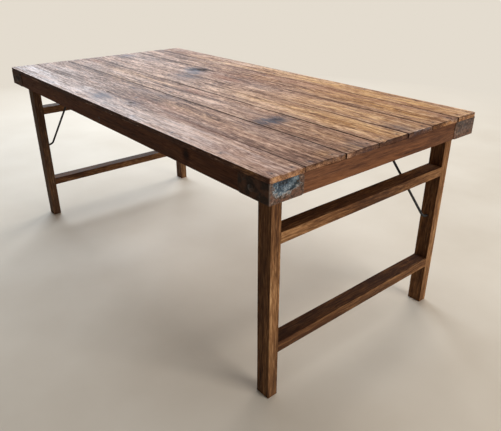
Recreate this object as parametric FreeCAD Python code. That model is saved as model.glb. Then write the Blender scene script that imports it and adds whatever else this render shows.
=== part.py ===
import FreeCAD, Part
import math
import os

# A plank-topped dining table on two folding leg frames, in millimetres.
# The origin is on the floor under the middle of the top, +X runs along the
# planks and +Z is up. Right is +X, left is -X, front is -Y and back is +Y.

# Whole table
table_length = 1846.0
table_width = 935.0
table_height = 760.0

# Top planks: each seam is a share of the width, counted from the front edge
plank_thickness = 16.0
plank_gap = 2.0
plank_chamfer = 1.2
plank_corner_radius = 5.0
plank_seam_shares = (0.131, 0.296, 0.445, 0.594, 0.727, 0.886)

# Apron under the planks: side rails, end rails and one middle rail
apron_depth = 58.0
apron_thickness = 41.0
apron_setback = 2.0
middle_rail_thickness = 41.0

# Iron straps round the corners of the apron
strap_thickness = 1.5
strap_end_arm = 118.0
strap_side_arm = 122.0
strap_bend_radius = 3.0
strap_corner_radius = 9.0

# Leg frames
leg_width = 54.0
leg_thickness = 37.0
leg_stop_gap = 0.5
leg_side_gap = 5.0
pivot_drop = 30.0
frame_rail_height = 35.0
upper_rail_bottom = 535.0
lower_rail_bottom = 164.0
tenon_length = 25.0
tenon_thickness = 18.0
tenon_shoulder = 6.0
peg_diameter = 8.0
peg_length = 40.0

# Pivot bolts with their washers and nuts
bolt_diameter = 10.0
bolt_head_diameter = 22.0
bolt_head_height = 5.0
bolt_stand_out = 3.0
washer_diameter = 24.0
washer_thickness = 2.0
nut_across_flats = 16.0
nut_height = 8.0

# Battens, screw eyes and stay rods
batten_width = 50.0
batten_thickness = 18.0
batten_end_gap = 8.0
eye_wire_diameter = 6.0
eye_inner_radius = 6.0
eye_neck = 1.0
eye_shank_length = 15.0
rod_diameter = 9.0
rod_ring_inner_radius = 6.5
rod_foot_height = 373.0
rod_foot_offset = 24.0
rod_run = 234.5
rod_lean = 64.5
rod_bend_radius = 20.0
rod_tip_depth = 8.0
rod_tip_chamfer = 1.2
pocket_run = 9.0
pocket_fall = 2.0
pocket_end_gap = 2.0

# Nails and screws: head radius, head height, shank radius and length
plank_nail = (3.0, 1.2, 1.5, 38.0)
rail_nail = (4.0, 1.5, 2.0, 90.0)
strap_nail = (3.5, 2.0, 1.5, 18.0)
batten_screw = (4.0, 2.5, 2.0, 28.0)
nail_set = 0.5
plank_nail_shares = (0.22, 0.78)
side_nail_shares = (0.12, 0.25, 0.38, 0.62, 0.75, 0.88)
rail_nail_shares = (0.2, 0.4)
strap_nail_arm_shares = (0.3, 0.8)
strap_nail_height_shares = (0.25, 0.75)
batten_screw_shares = (0.2, 0.85)

# Clearances
fixed_play = 0.1
running_play = 0.06
washer_play = 0.2
seat_gap = 0.3
overrun = 5.0
near = 0.1

# Directions
along_x = FreeCAD.Vector(1, 0, 0)
along_y = FreeCAD.Vector(0, 1, 0)
along_z = FreeCAD.Vector(0, 0, 1)

# Heights and faces that several pieces share
plank_bottom = table_height - plank_thickness
apron_bottom = plank_bottom - apron_depth
apron_end_face = table_length / 2 - apron_setback
apron_side_face = table_width / 2 - apron_setback
apron_end_inside = apron_end_face - apron_thickness
apron_side_inside = apron_side_face - apron_thickness
strap_end_face = apron_end_face + strap_thickness
strap_side_face = apron_side_face + strap_thickness
leg_middle = apron_end_inside - leg_stop_gap - leg_width / 2
leg_outside = apron_side_inside - leg_side_gap
leg_inside = leg_outside - leg_thickness
pivot_height = plank_bottom - pivot_drop
rail_middles = (upper_rail_bottom + frame_rail_height / 2, lower_rail_bottom + frame_rail_height / 2)
batten_bottom = plank_bottom - batten_thickness
batten_reach = leg_inside - batten_end_gap

# The stay on the right: the screw eye's middle, the corner between the rod's
# shank and its foot, and the direction between them seen from the front
eye_ring_radius = eye_inner_radius + eye_wire_diameter / 2
eye_height = batten_bottom - eye_neck - eye_ring_radius - eye_wire_diameter / 2
rod_corner = FreeCAD.Vector(leg_middle, leg_inside - rod_foot_offset, rod_foot_height)
eye_middle = FreeCAD.Vector(rod_corner.x - rod_run, rod_corner.y - rod_lean, eye_height)
rod_slope = FreeCAD.Vector(rod_corner.x - eye_middle.x, 0, rod_corner.z - eye_middle.z).normalize()
rod_ring_radius = rod_ring_inner_radius + rod_diameter / 2
ring_hang = rod_ring_inner_radius - eye_wire_diameter / 2 - seat_gap
rod_pivot = eye_middle + rod_slope * (eye_ring_radius + ring_hang)
rod_axis = (rod_corner - rod_pivot).normalize()
swing_axis = rod_slope.cross(-along_y)


def block(x_low, x_high, y_low, y_high, z_low, z_high):
    corner = FreeCAD.Vector(x_low, y_low, z_low)
    return Part.makeBox(x_high - x_low, y_high - y_low, z_high - z_low, corner)


def turned(shape):
    """The same shape on the other side of the table, turned half round."""
    copy = shape.copy()
    copy.rotate(FreeCAD.Vector(), along_z, 180)
    return copy


def without(shape, holes):
    return shape.cut(Part.makeCompound(holes)).removeSplitter()


def save(name, shape):
    shape.exportStep("parts/" + name + ".step")


def fastener(place, direction, sizes, play=0.0, recess=0.0):
    """A nail or screw whose head's face is at place, or with play its hole."""
    head_radius, head_height, shank_radius, length = sizes
    start = place - direction * recess
    head = Part.makeCylinder(head_radius + play, head_height + recess, start, direction)
    shank = Part.makeCylinder(shank_radius + play, length + play, place, direction)
    return head.fuse(shank)


def fasteners_and_holes(places, sizes):
    """Solid fasteners and the holes they sit in, from (place, direction) pairs."""
    solids = [fastener(place, direction, sizes) for place, direction in places]
    holes = [fastener(place, direction, sizes, fixed_play, overrun) for place, direction in places]
    return solids, holes


# Top planks

def plank_edges():
    """Front and back face of each plank, front plank first."""
    seams = [table_width * (share - 0.5) for share in plank_seam_shares]
    fronts = [-table_width / 2] + [seam + plank_gap / 2 for seam in seams]
    backs = [seam - plank_gap / 2 for seam in seams] + [table_width / 2]
    return list(zip(fronts, backs))


def plank(front, back, holes):
    half = table_length / 2
    body = block(-half, half, front, back, plank_bottom, table_height)
    rounded = [edge for edge in body.Edges if at_table_corner(edge)]
    if rounded:
        body = body.makeFillet(plank_corner_radius, rounded)
    top_edges = [edge for edge in body.Edges if lies_level(edge, table_height)]
    return without(body.makeChamfer(plank_chamfer, top_edges), holes)


def at_table_corner(edge):
    """Whether an upright edge stands at one of the table's four corners."""
    box = edge.BoundBox
    upright = box.ZLength > plank_thickness / 2
    return upright and abs(abs(box.Center.y) - table_width / 2) < near


def lies_level(edge, height):
    box = edge.BoundBox
    return abs(box.ZMin - height) < near and abs(box.ZMax - height) < near


def plank_nail_places():
    """Nails into the end and middle rails, and along both side rails."""
    head_height = table_height - nail_set
    end_line = (apron_end_face + apron_end_inside) / 2
    side_line = (apron_side_face + apron_side_inside) / 2
    places = []
    for front, back in plank_edges():
        for share in plank_nail_shares:
            y = front + (back - front) * share
            places += [(x, y) for x in (-end_line, 0, end_line)]
    for share in side_nail_shares:
        x = table_length * (share - 0.5)
        places += [(x, y) for y in (-side_line, side_line)]
    return [(FreeCAD.Vector(x, y, head_height), -along_z) for x, y in places]


# Apron

def side_rail(side, holes):
    """A side rail as long as the apron, drilled for the two pivot bolts."""
    faces = sorted((side * apron_side_inside, side * apron_side_face))
    body = block(-apron_end_face, apron_end_face, faces[0], faces[1], apron_bottom, plank_bottom)
    return without(body, holes + pivot_holes(bolt_diameter / 2 + fixed_play))


def cross_rail(x_low, x_high, holes):
    body = block(x_low, x_high, -apron_side_inside, apron_side_inside, apron_bottom, plank_bottom)
    return without(body, holes)


def rail_nail_places():
    """Long nails through the side rails into the ends of the cross rails."""
    end_line = (apron_end_face + apron_end_inside) / 2
    places = []
    for x in (-end_line, 0, end_line):
        for share in rail_nail_shares:
            height = apron_bottom + apron_depth * share
            for side in (-1, 1):
                place = FreeCAD.Vector(x, side * apron_side_face, height)
                places.append((place, along_y * -side))
    return places


# Corner straps

def strap_arm(reach, outside):
    """A flat arm on an end face, from the corner, with two rounded corners."""
    arm = block(0, strap_thickness, -reach, 0, apron_bottom, plank_bottom)
    ends = [edge for edge in arm.Edges if runs_through_end(edge, reach)]
    return arm.makeFillet(strap_corner_radius, ends).translated(outside)


def runs_through_end(edge, reach):
    """Whether an edge crosses the strap's thickness at the arm's free end."""
    box = edge.BoundBox
    return box.XLength > strap_thickness / 2 and box.YMax < -reach / 2


def corner_strap(side_x, side_y, holes):
    """One strap, bent round a corner of the apron; modelled at +X +Y."""
    corner = FreeCAD.Vector(strap_end_face - strap_thickness, strap_side_face, 0)
    end_arm = strap_arm(strap_end_arm, corner)
    side_arm = strap_arm(strap_side_arm, FreeCAD.Vector())
    side_arm.rotate(FreeCAD.Vector(), along_z, -90)
    side_arm = side_arm.mirror(FreeCAD.Vector(), along_y)
    side_arm.translate(FreeCAD.Vector(strap_end_face, strap_side_face - strap_thickness, 0))
    body = end_arm.fuse(side_arm).removeSplitter()
    bend = [edge for edge in body.Edges if at_strap_bend(edge)]
    body = body.makeFillet(strap_bend_radius, bend)
    if side_x < 0:
        body = body.mirror(FreeCAD.Vector(), along_x)
    if side_y < 0:
        body = body.mirror(FreeCAD.Vector(), along_y)
    return without(body, holes + pivot_holes(bolt_diameter / 2 + fixed_play))


def at_strap_bend(edge):
    box = edge.BoundBox
    outer = abs(box.Center.x - strap_end_face) < near and abs(box.Center.y - strap_side_face) < near
    return outer and box.ZLength > apron_depth / 2


def strap_nail_places():
    """Two nails through each arm of each strap, with heads level with the top's edge."""
    places = []
    for side_x in (-1, 1):
        for side_y in (-1, 1):
            for arm, height in zip(strap_nail_arm_shares, strap_nail_height_shares):
                z = apron_bottom + apron_depth * height
                x = side_x * (strap_end_face - strap_side_arm * arm)
                y = side_y * (strap_side_face - strap_end_arm * arm)
                side = FreeCAD.Vector(x, side_y * (apron_side_face + apron_setback), z)
                end = FreeCAD.Vector(side_x * (apron_end_face + apron_setback), y, z)
                places.append((side, along_y * -side_y))
                places.append((end, along_x * -side_x))
    return places


# Pivot bolts

def pivot_holes(radius):
    """Two bores along Y through the whole width, one at each pivot."""
    start = -table_width / 2 - overrun
    length = table_width + 2 * overrun
    places = [FreeCAD.Vector(side * leg_middle, start, pivot_height) for side in (-1, 1)]
    return [Part.makeCylinder(radius, length, place, along_y) for place in places]


def across_y(shape, side_x, side_y):
    """Put a piece built at the back at a pivot, turned round for the front."""
    if side_y < 0:
        shape.rotate(FreeCAD.Vector(), along_z, 180)
    shape.translate(FreeCAD.Vector(side_x * leg_middle, 0, pivot_height))
    return shape


def pivot_bolt(side_x, side_y):
    """A domed head on the strap and a shank through rail, spacer, leg and nut."""
    end = leg_inside - washer_play - washer_thickness - nut_height - bolt_stand_out
    shank = Part.makeCylinder(
        bolt_diameter / 2, strap_side_face - end, FreeCAD.Vector(0, end, 0), along_y)
    return across_y(shank.fuse(dome()), side_x, side_y)


def dome():
    """A low round head whose flat side lies on the strap."""
    half = bolt_head_diameter / 2
    radius = (half ** 2 + bolt_head_height ** 2) / (2 * bolt_head_height)
    middle = strap_side_face + bolt_head_height - radius
    ball = Part.makeSphere(radius, FreeCAD.Vector(0, middle, 0))
    return ball.common(block(-half, half, strap_side_face, strap_side_face + bolt_head_height, -half, half))


def ring(outer_radius, inner_radius, y_low, y_high):
    start = FreeCAD.Vector(0, y_low, 0)
    outer = Part.makeCylinder(outer_radius, y_high - y_low, start, along_y)
    return outer.cut(Part.makeCylinder(inner_radius, y_high - y_low, start, along_y))


def spacer_washer(side_x, side_y):
    body = ring(
        washer_diameter / 2, bolt_diameter / 2 + fixed_play, leg_outside + washer_play, apron_side_inside)
    return across_y(body, side_x, side_y)


def nut_washer(side_x, side_y):
    high = leg_inside - washer_play
    body = ring(washer_diameter / 2, bolt_diameter / 2 + fixed_play, high - washer_thickness, high)
    return across_y(body, side_x, side_y)


def pivot_nut(side_x, side_y):
    high = leg_inside - washer_play - washer_thickness
    corner_radius = nut_across_flats / 2 / math.cos(math.pi / 6)
    corners = []
    for turn in range(7):
        angle = turn * math.pi / 3
        place = (corner_radius * math.cos(angle), high - nut_height, corner_radius * math.sin(angle))
        corners.append(FreeCAD.Vector(*place))
    hexagon = Part.Face(Part.makePolygon(corners)).extrude(along_y * nut_height)
    start = FreeCAD.Vector(0, high - nut_height, 0)
    hole = Part.makeCylinder(bolt_diameter / 2 + fixed_play, nut_height, start, along_y)
    return across_y(hexagon.cut(hole), side_x, side_y)


# Leg frames, built on the right

def leg(side_y, holes):
    """A leg with a half-round top about its pivot and two mortises."""
    faces = sorted((side_y * leg_inside, side_y * leg_outside))
    half = leg_width / 2
    post = block(leg_middle - half, leg_middle + half, faces[0], faces[1], 0, pivot_height)
    top = Part.makeCylinder(
        half, leg_thickness, FreeCAD.Vector(leg_middle, faces[0], pivot_height), along_y)
    mortises = [tenon(side_y, middle, fixed_play) for middle in rail_middles]
    bores = pivot_holes(bolt_diameter / 2 + running_play)
    return without(post.fuse(top).removeSplitter(), mortises + bores + holes)


def tenon(side_y, middle, play):
    """The tongue on a frame rail's end, or with play the mortise round it."""
    across = tenon_thickness / 2 + play
    tall = frame_rail_height / 2 - tenon_shoulder + play
    ends = sorted((side_y * leg_inside, side_y * (leg_inside + tenon_length + play)))
    return block(leg_middle - across, leg_middle + across, ends[0], ends[1], middle - tall, middle + tall)


def frame_rail(middle, holes):
    """A rail as wide as the legs, with a tenon at each end."""
    half = leg_width / 2
    tall = frame_rail_height / 2
    body = block(
        leg_middle - half, leg_middle + half, -leg_inside, leg_inside, middle - tall, middle + tall)
    for side_y in (-1, 1):
        body = body.fuse(tenon(side_y, middle, 0))
    return without(body.removeSplitter(), holes)


def pegs(play=0.0):
    """Pegs through the tenons, driven in from the frame's inner side."""
    start = leg_middle - leg_width / 2 - play
    solids = []
    for middle in rail_middles:
        for side_y in (-1, 1):
            place = FreeCAD.Vector(start, side_y * (leg_inside + tenon_length / 2), middle)
            solids.append(Part.makeCylinder(peg_diameter / 2 + play, peg_length + 2 * play, place, along_x))
    return solids


def foot_pocket():
    """The pocket for the stay's foot, lengthened the way the foot leaves it."""
    radius = rod_diameter / 2 + seat_gap
    depth = rod_tip_depth + pocket_end_gap
    run = FreeCAD.Vector(pocket_run, 0, -pocket_fall)
    start = FreeCAD.Vector(leg_middle, leg_inside, rod_foot_height)
    aside = run.cross(along_y).normalize() * radius
    corners = [start + aside, start + run + aside, start + run - aside, start - aside, start + aside]
    middle = Part.Face(Part.makePolygon(corners)).extrude(along_y * depth)
    ends = [Part.makeCylinder(radius, depth, place, along_y) for place in (start, start + run)]
    return middle.fuse(ends)


def leg_frame():
    """The right frame: name and shape of each of its pieces."""
    holes = pegs(fixed_play)
    return {
        "leg_front": leg(-1, holes),
        "leg_back": leg(1, holes + [foot_pocket()]),
        "upper_rail": frame_rail(rail_middles[0], holes),
        "lower_rail": frame_rail(rail_middles[1], holes),
        "rail_pegs": Part.makeCompound(pegs()),
    }


# Battens, screw eyes and stays, built on the right

def eye_shank(play=0.0):
    start = eye_middle + along_z * eye_ring_radius
    length = batten_bottom + eye_shank_length - start.z + play
    return Part.makeCylinder(eye_wire_diameter / 2 + play, length, start, along_z)


def screw_eye():
    """A closed ring, seen round from the front, hanging from a shank."""
    loop = Part.makeTorus(eye_ring_radius, eye_wire_diameter / 2, eye_middle, along_y)
    return loop.fuse(eye_shank())


def batten_screw_places():
    """Screws up into every plank that lies wholly over the battens."""
    places = []
    for front, back in plank_edges()[1:-1]:
        for share in batten_screw_shares:
            y = front + (back - front) * share
            places += [FreeCAD.Vector(side * eye_middle.x, y, batten_bottom) for side in (-1, 1)]
    return [(place, along_z) for place in places if clear_of_eye(place)]


def clear_of_eye(place):
    """Whether a batten screw stands clear of the screw eyes' shanks."""
    return abs(abs(place.y) - eye_middle.y) > batten_screw[0] + eye_wire_diameter


def batten(holes):
    """A board across the planks, between the places of the folded legs."""
    half = batten_width / 2
    body = block(
        eye_middle.x - half, eye_middle.x + half, -batten_reach, batten_reach,
        batten_bottom, plank_bottom)
    return without(body, holes)


def stay_rod():
    """A ring linked through the screw eye, a straight shank and a bent foot."""
    loop = Part.makeTorus(rod_ring_radius, rod_diameter / 2, rod_pivot, swing_axis)
    turn = rod_axis.getAngle(along_y)
    setback = rod_bend_radius * math.tan(turn / 2)
    start = rod_pivot + rod_axis * rod_ring_radius
    bend_in = rod_corner - rod_axis * setback
    bend_out = rod_corner + along_y * setback
    inward = (along_y - rod_axis).normalize()
    bend_middle = rod_corner + inward * (rod_bend_radius / math.cos(turn / 2))
    bend_top = bend_middle - inward * rod_bend_radius
    tip = FreeCAD.Vector(rod_corner.x, leg_inside + rod_tip_depth, rod_corner.z)
    path = Part.Wire([
        Part.LineSegment(start, bend_in).toShape(),
        Part.Arc(bend_in, bend_top, bend_out).toShape(),
        Part.LineSegment(bend_out, tip).toShape(),
    ])
    section = Part.Wire([Part.Circle(start, rod_axis, rod_diameter / 2).toShape()])
    shank = path.makePipeShell([section], True, False)
    end = [edge for edge in shank.Edges if abs(edge.BoundBox.YMin - tip.y) < near]
    return loop.fuse(shank.makeChamfer(rod_tip_chamfer, end))


def build():
    os.makedirs("parts", exist_ok=True)
    corners = [(x, y) for x in (-1, 1) for y in (-1, 1)]
    side_names = {-1: "left", 1: "right"}
    depth_names = {-1: "front", 1: "back"}

    nails, nail_holes = fasteners_and_holes(plank_nail_places(), plank_nail)
    rail_nails, rail_nail_holes = fasteners_and_holes(rail_nail_places(), rail_nail)
    strap_nails, strap_nail_holes = fasteners_and_holes(strap_nail_places(), strap_nail)
    screws, screw_holes = fasteners_and_holes(batten_screw_places(), batten_screw)
    apron_holes = nail_holes + rail_nail_holes + strap_nail_holes

    for number, (front, back) in enumerate(plank_edges(), 1):
        save("top_plank_%d" % number, plank(front, back, nail_holes + screw_holes))
    for side_y, name in depth_names.items():
        save("side_rail_" + name, side_rail(side_y, apron_holes))
    save("end_rail_left", cross_rail(-apron_end_face, -apron_end_inside, apron_holes))
    save("end_rail_right", cross_rail(apron_end_inside, apron_end_face, apron_holes))
    half = middle_rail_thickness / 2
    save("middle_rail", cross_rail(-half, half, apron_holes))

    for side_x, side_y in corners:
        place = depth_names[side_y] + "_" + side_names[side_x]
        save("corner_strap_" + place, corner_strap(side_x, side_y, strap_nail_holes))
        save("pivot_bolt_" + place, pivot_bolt(side_x, side_y))
    save("spacer_washers", Part.makeCompound([spacer_washer(*corner) for corner in corners]))
    save("nut_washers", Part.makeCompound([nut_washer(*corner) for corner in corners]))
    save("pivot_nuts", Part.makeCompound([pivot_nut(*corner) for corner in corners]))
    save("plank_nails", Part.makeCompound(nails))
    save("rail_nails", Part.makeCompound(rail_nails))
    save("strap_nails", Part.makeCompound(strap_nails))
    save("batten_screws", Part.makeCompound(screws))

    batten_holes = screw_holes + [eye_shank(fixed_play), turned(eye_shank(fixed_play))]
    whole_batten = batten(batten_holes)
    save("stay_batten_right", whole_batten)
    save("stay_batten_left", without(turned(batten([])), batten_holes))
    save("screw_eye_right", screw_eye())
    save("screw_eye_left", turned(screw_eye()))
    save("stay_rod_right", stay_rod())
    save("stay_rod_left", turned(stay_rod()))

    other_leg = {"leg_front": "leg_back", "leg_back": "leg_front"}
    for name, shape in leg_frame().items():
        save(name + "_right", shape)
        save(other_leg.get(name, name) + "_left", turned(shape))


build()
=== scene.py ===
import math
import bpy
import numpy as np
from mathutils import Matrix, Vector


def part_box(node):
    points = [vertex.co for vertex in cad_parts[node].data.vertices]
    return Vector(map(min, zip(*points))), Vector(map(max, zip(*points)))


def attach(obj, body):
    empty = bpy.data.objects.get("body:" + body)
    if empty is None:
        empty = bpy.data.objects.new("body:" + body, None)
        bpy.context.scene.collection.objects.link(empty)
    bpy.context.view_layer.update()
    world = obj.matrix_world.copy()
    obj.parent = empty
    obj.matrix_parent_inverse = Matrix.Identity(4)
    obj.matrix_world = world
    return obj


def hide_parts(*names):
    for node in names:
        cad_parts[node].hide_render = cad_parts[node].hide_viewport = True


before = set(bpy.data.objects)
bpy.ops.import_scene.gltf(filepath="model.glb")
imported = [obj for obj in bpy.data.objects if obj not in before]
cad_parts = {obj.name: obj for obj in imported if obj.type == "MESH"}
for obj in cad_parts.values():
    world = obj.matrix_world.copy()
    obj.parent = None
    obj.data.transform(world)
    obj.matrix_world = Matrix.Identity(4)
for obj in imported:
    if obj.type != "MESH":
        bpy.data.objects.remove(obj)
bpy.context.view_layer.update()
scene = bpy.context.scene

# The object is a folding dining table of old timber. Its boards, legs and rails are
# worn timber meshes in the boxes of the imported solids, and its corner straps are
# hammered sheets. The stays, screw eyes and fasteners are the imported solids.
# All lengths are in metres, unless a comment says otherwise.

# Camera, at the photograph's viewpoint
camera_place = (1.785, -1.248, 1.229)
camera_yaw = math.radians(50.064)
camera_pitch = math.radians(-25.963)
focal_length_px = 530.1
image_width_px = 501
sensor_width_mm = 36.0

# Meshes of the boards
mm = 0.001
tiny = 1e-9
grid_along = 9 * mm
grid_across = 6 * mm
edge_line_shares = (0, 0.3, 0.6, 1, 1.7)
closest_cuts_share = 0.05
chip_reach = 6 * mm
square_end_reach = 4 * mm

# Edge radius, depth of dents in the faces and of chips at the ends
plank_wear = (3.2 * mm, 0.7 * mm, 7 * mm)
apron_wear = (1.8 * mm, 0.7 * mm, 0)
leg_wear = (2 * mm, 0.7 * mm, 2.5 * mm)
frame_rail_wear = (2 * mm, 0.7 * mm, 0)

# Planks, and seeds of their shape, marks, wavering and grain, before a plank's number
plank_count = 7
shape_seed, marks_seed, waver_seed, grain_seed = 40, 70, 90, 100
nail_pit_radius = 3.6 * mm
nail_pit_depth = 0.9 * mm
nail_pit_line_shares = (-1.5, -1.1, -0.75, 0, 0.75, 1.1, 1.5)
nail_stain = 0.4
nail_head_grid = 8 * mm
closed_edge_share = 0.2
cupping = 0.5 * mm
edge_waver = 1.1 * mm
setback_fade = 40
seam_closing = 0.9 * mm
top_corner_radius = 7 * mm

# Straps
strap_thickness = 1.5 * mm
strap_bend_radius = 3 * mm
strap_corner_radius = 9 * mm
strap_grid = 3 * mm
strap_bend_lines = 6
strap_corner_lines = 8
strap_inset = 0.1 * mm
hammer_depth = 0.22 * mm
fine_hammer_depth = 0.14 * mm
patina_centre = (0.46, 0.84)
patina_reach = (0.4, 0.5)
back_bend_bareness = 0.1

# Stage
floor_radius = 14
floor_fade = (1.9, 4.2)
sky_strength = 0.12
light_target = Vector((0, 0, 0.6))
backdrop_in_gloss = 0.14


def rgb(red, green, blue):
    """Linear colour with full alpha, of a screen's colour with values from 0 to 255."""
    def linear(value):
        value /= 255
        return value / 12.92 if value <= 0.04045 else ((value + 0.055) / 1.055) ** 2.4
    return (linear(red), linear(green), linear(blue), 1)


backdrop_colour = rgb(228, 220, 207)


# Noise and meshes

class Noise:
    """Smooth seeded noise from -1 to 1, with a cell size for each direction."""

    def __init__(self, seed, size=24):
        self.size = size
        self.table = np.random.default_rng(seed).uniform(-1, 1, (size, size, size))

    def __call__(self, points, cells):
        places = points / np.array(cells)
        whole = np.floor(places).astype(int)
        part = places - whole
        part = part * part * (3 - 2 * part)
        total = np.zeros(len(points))
        for corner in np.ndindex(2, 2, 2):
            index = (whole + corner) % self.size
            share = np.prod(np.where(np.array(corner) == 1, part, 1 - part), axis=1)
            total += share * self.table[tuple(index.T)]
        return total


def drawn_out(along, across_grain, along_grain):
    """Sizes in X, Y and Z that are larger along the grain."""
    sizes = np.full(3, across_grain)
    sizes[along] = along_grain
    return sizes


def at_even_steps(share, values):
    """Values that are known at even steps from 0 to 1, at shares between."""
    return np.interp(share, np.linspace(0, 1, len(values)), values)


def cuts(length, step, edge, more=()):
    """Places to cut one side of a box: close in its worn edges, then evenly spaced."""
    close = edge * np.array(edge_line_shares)
    count = max(2, round((length - 2 * close[-1]) / step))
    middle = np.linspace(close[-1], length - close[-1], count + 1)
    places = np.sort(np.concatenate([close[:-1], middle, length - close[:-1], more]))
    apart = np.diff(places, prepend=-1) > edge * closest_cuts_share
    return places[apart]


def box_faces(lines):
    """Points and quads of a closed box cut along the given lines in X, Y and Z."""
    inside = np.zeros([len(line) for line in lines], bool)
    inside[1:-1, 1:-1, 1:-1] = True
    index = np.full(inside.shape, -1)
    index[~inside] = np.arange((~inside).sum())
    points = np.stack(np.meshgrid(*lines, indexing="ij"), -1)[~inside]
    quads = []
    for axis in range(3):
        for end in (0, -1):
            side = np.take(index, end, axis)
            quad = np.stack([side[:-1, :-1], side[1:, :-1], side[1:, 1:], side[:-1, 1:]], -1)
            quad = quad.reshape(-1, 4)
            outward = (end == -1) != (axis == 1)
            quads.append(quad if outward else quad[:, ::-1])
    return points, np.concatenate(quads)


def mesh_piece(name, points, faces, attributes, material):
    """A smooth-shaded object with attributes at its points."""
    mesh = bpy.data.meshes.new(name)
    mesh.from_pydata(points.tolist(), [], faces.tolist())
    for key, values in attributes.items():
        kind, field = ("FLOAT", "value") if values.ndim == 1 else ("FLOAT_VECTOR", "vector")
        data = mesh.attributes.new(key, kind, "POINT").data
        data.foreach_set(field, values.astype(np.float32).ravel())
    mesh.shade_smooth()
    mesh.materials.append(material)
    piece = bpy.data.objects.new(name, mesh)
    scene.collection.objects.link(piece)
    return piece


# Timber meshes

def timber(
        low, high, along, seed, wear, more_cuts=((), (), ()), square_ends=False, edge_share=None):
    """Points, quads, outward directions and chips of a board with worn edges inside a box.

    wear holds the edge radius, the depth of dents in the faces and of chips at the ends.
    edge_share gives the share of the edge radius at points measured from the box's low corner."""
    edge, dent, chip = wear
    size = np.array(high) - np.array(low)
    steps = drawn_out(along, grid_across, grid_along)
    points, quads = box_faces(
        [cuts(size[axis], steps[axis], edge, more_cuts[axis]) for axis in range(3)])
    noise = Noise(seed)
    cells = drawn_out(along, 0.02, 0.16)
    fine_cells = drawn_out(along, 0.005, 0.09)
    to_end = np.minimum(points[:, along], size[along] - points[:, along])
    near_end = np.exp(-to_end / chip_reach)
    radius = edge * (0.62 + 0.38 * noise(points, cells)) * (1 - 0.45 * near_end)
    if edge_share:
        radius = radius * edge_share(points)
    limit = radius[:, None] * np.ones(3)
    if square_ends:
        limit[:, along] = 0
    inner = np.clip(points, limit, size - limit)
    away = points - inner
    reach = np.linalg.norm(away, axis=1)
    outward = away / np.maximum(reach, tiny)[:, None]

    dents = 0.5 + 0.35 * noise(points, cells * 1.7) + 0.15 * noise(points, fine_cells)
    upper = points[:, 2] / size[2]
    chipped = np.clip(noise(points, (0.05, 0.05, 0.05)) * 2.5 + 0.1, 0, 1)
    chips = np.clip(noise(points, (0.012, 0.010, 0.012)) * 1.8 - 0.25, 0, 1)
    chips = chips * chipped * upper * near_end
    depth = dent * dents + chip * chips
    if square_ends:
        depth *= 1 - np.exp(-to_end / square_end_reach)
    moved = inner + outward * (np.abs(away).max(axis=1) - depth)[:, None]
    return moved + np.array(low), quads, outward, chips


def rounded(over):
    """Places beyond the middle of a square corner, drawn in to a round one."""
    reach = np.linalg.norm(over, axis=1)
    return over * (np.abs(over).max(axis=1) / np.maximum(reach, tiny))[:, None]


def grain_places(points, low, along, across, seed):
    """Each point's place in its board's own timber: along, across and into the grain."""
    third = 3 - along - across
    random = np.random.default_rng(seed)
    shift = random.uniform((0, -0.02, 0), (9, 0.02, 0.03))
    local = points - np.array(low)
    return np.stack([local[:, along], local[:, across], local[:, third]], -1) + shift

# The top

# Knots: places along and across the top in millimetres, reaches, and how pale the heart is
knots = (
    (-285, 192, 44, 24, -0.1), (-310, 146, 40, 24, 0.5), (-322, 172, 20, 12, 0.2),
    (-87, -60, 16, 10, 0.1), (557, -112, 26, 56, 0.65), (237, -311, 30, 16, 0.8),
    (60, -364, 22, 9, 0.2), (100, -392, 22, 9, 0.3), (-150, -348, 30, 10, 0.35),
    (-806, -80, 44, 22, 0.9), (46, -84, 46, 22, 0.8), (560, 52, 14, 7, 0.2),
    (30, 395, 22, 12, 0.7), (-180, -262, 18, 8, 0.7))

# Blue-grey stains: places and reaches in millimetres, and strengths
stains = (
    (-300, 165, 62, 48, 1.5), (-245, 115, 60, 40, 1.2), (-205, 58, 75, 45, 1),
    (-180, 10, 60, 35, 0.6), (556, -128, 38, 66, 1.5), (-115, -391, 80, 40, 1.1),
    (-60, -410, 110, 40, 0.4), (60, -365, 60, 25, 0.8), (53, -218, 110, 20, 0.7),
    (-100, -236, 120, 20, 0.5), (-864, 118, 45, 40, 0.8), (-650, 160, 110, 35, 0.25),
    (-700, -180, 160, 35, 0.2), (866, 122, 50, 32, 0.9), (890, -120, 30, 40, 0.6))

# Golden heartwood, in the same way
golds = (
    (720, 30, 400, 70, 0.85), (897, -140, 26, 40, 0.9), (885, -240, 30, 40, 0.8),
    (300, 20, 260, 45, 0.6), (660, 150, 360, 60, 0.75), (450, 410, 750, 55, 1),
    (650, 285, 420, 60, 0.9), (0, 280, 300, 50, 0.4), (-450, -100, 300, 30, 0.6),
    (-400, -190, 260, 25, 0.45), (300, -260, 260, 30, 0.35), (760, -120, 160, 45, 0.5),
    (800, -250, 140, 40, 0.15), (-550, 380, 400, 40, 0.4), (-100, 367, 400, 35, 0.45),
    (-450, 301, 250, 30, 0.35))

# Reddish areas
reds = (
    (300, 350, 550, 60, 0.8), (46, -84, 90, 30, 1), (-820, -76, 70, 28, 1),
    (230, -312, 100, 30, 0.9), (50, -300, 120, 20, 0.6), (-50, 240, 250, 60, 0.6),
    (-60, 158, 120, 30, 1), (550, -290, 400, 50, 0.2), (700, -420, 300, 45, 0.5),
    (-700, 390, 250, 45, 0.6), (350, -345, 350, 14, 0.9))

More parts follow.
